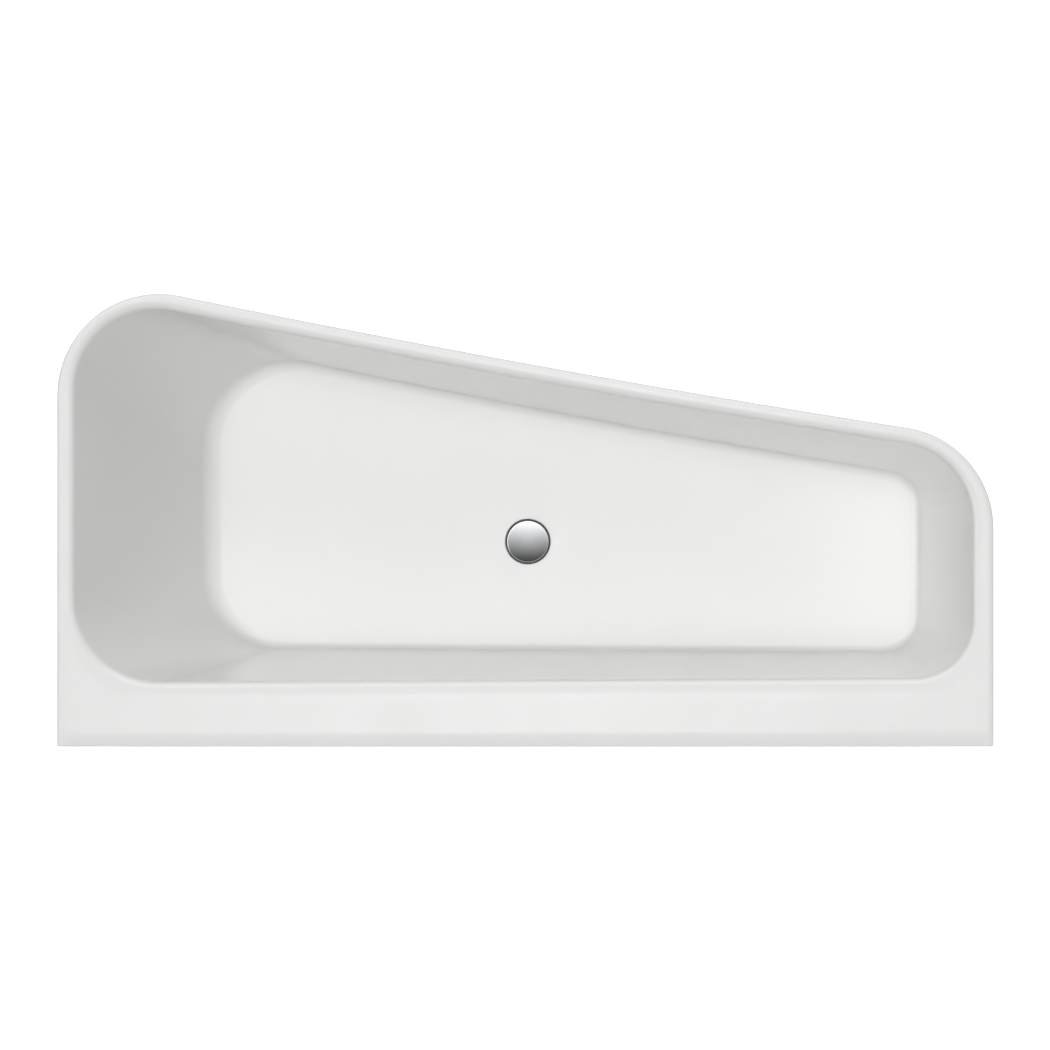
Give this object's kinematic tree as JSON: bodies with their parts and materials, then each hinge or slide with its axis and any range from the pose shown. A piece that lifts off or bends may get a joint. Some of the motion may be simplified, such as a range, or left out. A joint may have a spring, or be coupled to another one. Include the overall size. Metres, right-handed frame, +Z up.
{
  "type": "bathtub",
  "caption": "Back-to-wall acrylic bath with a tapering basin, slanted front, sloping backrest, wide wall ledge, skirt, click waste and trap.",
  "frame": {"origin": "on the floor, under the middle of the rim", "axes": "+X to the wide head end with the backrest, -X to the narrow foot end, +Y to the wall, -Y to the slanted front in the room, +Z up"},
  "size_m": [1.7, 0.822, 0.6],
  "materials": {
    "acrylic": "gloss",
    "skirt_acrylic": "gloss",
    "adhesive": "matte",
    "timber": "raw",
    "chipboard": "raw",
    "resin": "satin",
    "zinc_steel": "zinc plated",
    "chrome": "polished",
    "rubber": "matte",
    "pad_plastic": "matte",
    "brass": "machined",
    "latch_plastic": "satin",
    "spring_steel": "bright",
    "pipe_plastic": "satin"
  },
  "bodies": {
    "bath": {"bath_shell": "acrylic", "skirt": "skirt_acrylic", "bond_bead": "adhesive", "front_batten": "timber", "head_batten": "timber", "foot_batten": "timber", "ledge_board": "chipboard", "base_board": "chipboard", "resin_bed": "resin", "head_bearer": "zinc_steel", "foot_bearer": "zinc_steel", "leg_plate": "zinc_steel", "frame_screws": "zinc_steel", "leg_nuts": "zinc_steel", "lock_nuts": "zinc_steel", "waste_body": "chrome", "waste_gasket": "rubber", "under_gasket": "rubber", "back_nut": "brass", "latch": "latch_plastic", "latch_spring": "spring_steel", "union_nut": "pipe_plastic", "trap_washer": "rubber"},
    "plug": {"plug": "chrome", "plug_seal": "rubber"},
    "trap": {"trap_body": "pipe_plastic", "trap_elbow": "pipe_plastic", "elbow_nut": "pipe_plastic", "drain_nut": "pipe_plastic", "drain_pipe": "pipe_plastic"},
    "foot_head_front": {"pad_head_front": "pad_plastic"},
    "bolt_head_front": {"leg_head_front": "zinc_steel"},
    "foot_head_wall": {"pad_head_wall": "pad_plastic"},
    "bolt_head_wall": {"leg_head_wall": "zinc_steel"},
    "foot_foot_front": {"pad_foot_front": "pad_plastic"},
    "bolt_foot_front": {"leg_foot_front": "zinc_steel"},
    "foot_foot_wall": {"pad_foot_wall": "pad_plastic"},
    "bolt_foot_wall": {"leg_foot_wall": "zinc_steel"},
    "foot_middle": {"pad_middle": "pad_plastic"},
    "bolt_middle": {"leg_middle": "zinc_steel"}
  },
  "joints": [
    {"name": "plug_lift", "type": "slide", "parent": "bath", "child": "plug", "axis": [0, 0, 1], "range_m": [0, 0.009]},
    {"name": "trap_swivel", "type": "hinge", "parent": "bath", "child": "trap", "pos_m": [-0.005, 0.041, 0.1038], "axis": [0, 0, 1], "range_deg": [-25, 25]},
    {"name": "foot_travel_head_front", "type": "slide", "parent": "bath", "child": "foot_head_front", "axis": [0, 0, 1], "range_m": [-0.015, 0.006]},
    {"name": "leg_turn_head_front", "type": "hinge", "parent": "foot_head_front", "child": "bolt_head_front", "pos_m": [0.4, -0.25771, 0.02], "axis": [0, 0, 1], "range_deg": [-3090, 1240]},
    {"name": "foot_travel_head_wall", "type": "slide", "parent": "bath", "child": "foot_head_wall", "axis": [0, 0, 1], "range_m": [-0.015, 0.006]},
    {"name": "leg_turn_head_wall", "type": "hinge", "parent": "foot_head_wall", "child": "bolt_head_wall", "pos_m": [0.4, 0.331, 0.02], "axis": [0, 0, 1], "range_deg": [-3090, 1240]},
    {"name": "foot_travel_foot_front", "type": "slide", "parent": "bath", "child": "foot_foot_front", "axis": [0, 0, 1], "range_m": [-0.015, 0.006]},
    {"name": "leg_turn_foot_front", "type": "hinge", "parent": "foot_foot_front", "child": "bolt_foot_front", "pos_m": [-0.56, -0.08594, 0.02], "axis": [0, 0, 1], "range_deg": [-3090, 1240]},
    {"name": "foot_travel_foot_wall", "type": "slide", "parent": "bath", "child": "foot_foot_wall", "axis": [0, 0, 1], "range_m": [-0.015, 0.006]},
    {"name": "leg_turn_foot_wall", "type": "hinge", "parent": "foot_foot_wall", "child": "bolt_foot_wall", "pos_m": [-0.56, 0.331, 0.02], "axis": [0, 0, 1], "range_deg": [-3090, 1240]},
    {"name": "foot_travel_middle", "type": "slide", "parent": "bath", "child": "foot_middle", "axis": [0, 0, 1], "range_m": [-0.015, 0.006]},
    {"name": "leg_turn_middle", "type": "hinge", "parent": "foot_middle", "child": "bolt_middle", "pos_m": [0.125, -0.07, 0.02], "axis": [0, 0, 1], "range_deg": [-3090, 1240]}
  ],
  "couplings": [
    {"joint": "leg_turn_head_front", "follows": "foot_travel_head_front", "rad_per_m": 3590.4},
    {"joint": "leg_turn_head_wall", "follows": "foot_travel_head_wall", "rad_per_m": 3590.4},
    {"joint": "leg_turn_foot_front", "follows": "foot_travel_foot_front", "rad_per_m": 3590.4},
    {"joint": "leg_turn_foot_wall", "follows": "foot_travel_foot_wall", "rad_per_m": 3590.4},
    {"joint": "leg_turn_middle", "follows": "foot_travel_middle", "rad_per_m": 3590.4}
  ]
}
